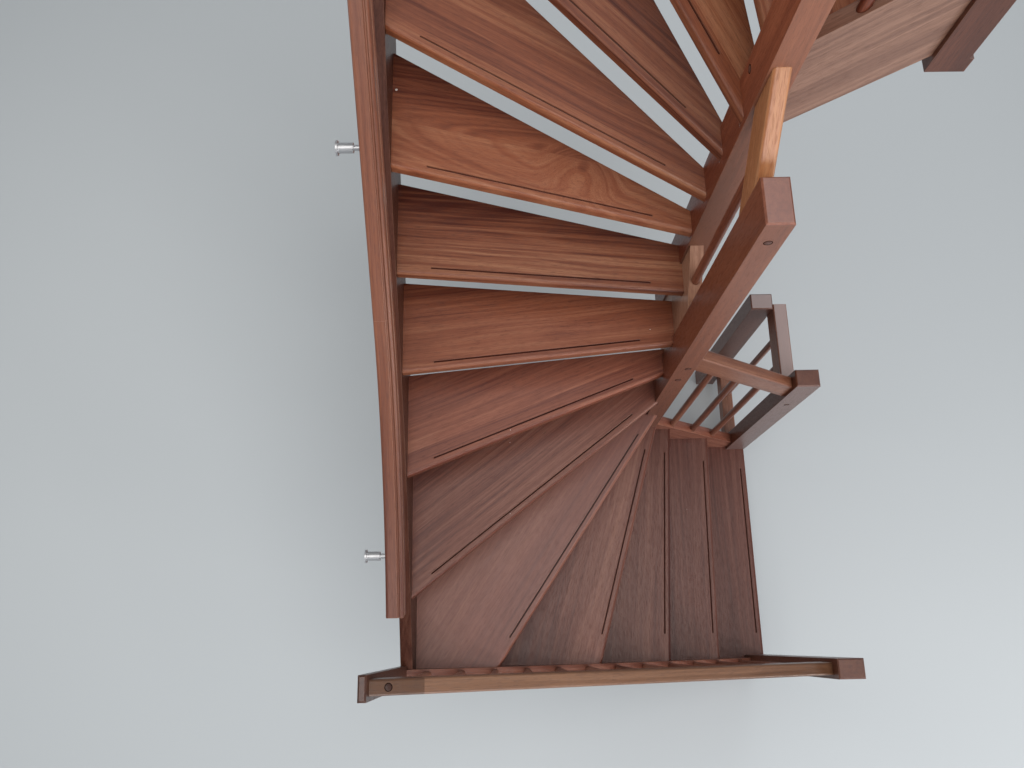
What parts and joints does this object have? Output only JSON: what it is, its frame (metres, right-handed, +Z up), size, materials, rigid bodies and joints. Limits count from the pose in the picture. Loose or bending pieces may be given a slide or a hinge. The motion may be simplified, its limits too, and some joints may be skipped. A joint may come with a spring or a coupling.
{
  "type": "half-turn winder stair with open risers and balustrade",
  "caption": "Varnished hardwood half-turn winder stair with open risers, closed strings, newels, round spindles and handrails, one of them on wall brackets.",
  "frame": {"origin": "centre of the foot of the lower tall newel, on the lower floor", "axes": "+Z up; the bottom flight climbs towards -X, the middle flight towards +Y beside the wall, the top flight towards +X"},
  "size_m": [1.417, 2.19, 3.697],
  "materials": {
    "tread_wood": "satin varnish over straight-grained reddish hardwood",
    "newel_wood": "satin varnish",
    "string_wood": "satin varnish",
    "rail_wood": "satin varnish, lighter boards",
    "spindle_wood": "satin varnish",
    "bracket_steel": "brushed"
  },
  "bodies": {
    "root": {"tread_01": "tread_wood", "tread_02": "tread_wood", "tread_03": "tread_wood", "tread_04": "tread_wood", "tread_05": "tread_wood", "tread_06": "tread_wood", "tread_07": "tread_wood", "tread_08": "tread_wood", "tread_09": "tread_wood", "tread_10": "tread_wood", "tread_11": "tread_wood", "tread_12": "tread_wood", "tread_13": "tread_wood", "tread_14": "tread_wood", "landing_nosing": "tread_wood", "newel_lower": "newel_wood", "newel_upper": "newel_wood", "newel_start_inner": "newel_wood", "newel_start_outer": "newel_wood", "newel_top": "newel_wood", "guard_post": "newel_wood", "wall_half_post": "newel_wood", "string_inner_lower": "string_wood", "string_inner_middle": "string_wood", "string_inner_upper": "string_wood", "string_outer_lower": "string_wood", "string_wall": "string_wood", "string_outer_upper": "string_wood", "handrail_inner_lower": "rail_wood", "handrail_inner_middle": "rail_wood", "handrail_inner_upper": "rail_wood", "handrail_outer": "rail_wood", "handrail_wall": "rail_wood", "rail_brackets": "bracket_steel", "spindles_inner_lower": "spindle_wood", "spindle_middle": "spindle_wood", "spindles_inner_upper": "spindle_wood", "spindles_outer": "spindle_wood", "guard_top_rail": "rail_wood", "guard_bottom_rail": "rail_wood", "spindles_guard": "spindle_wood"}
  },
  "joints": []
}
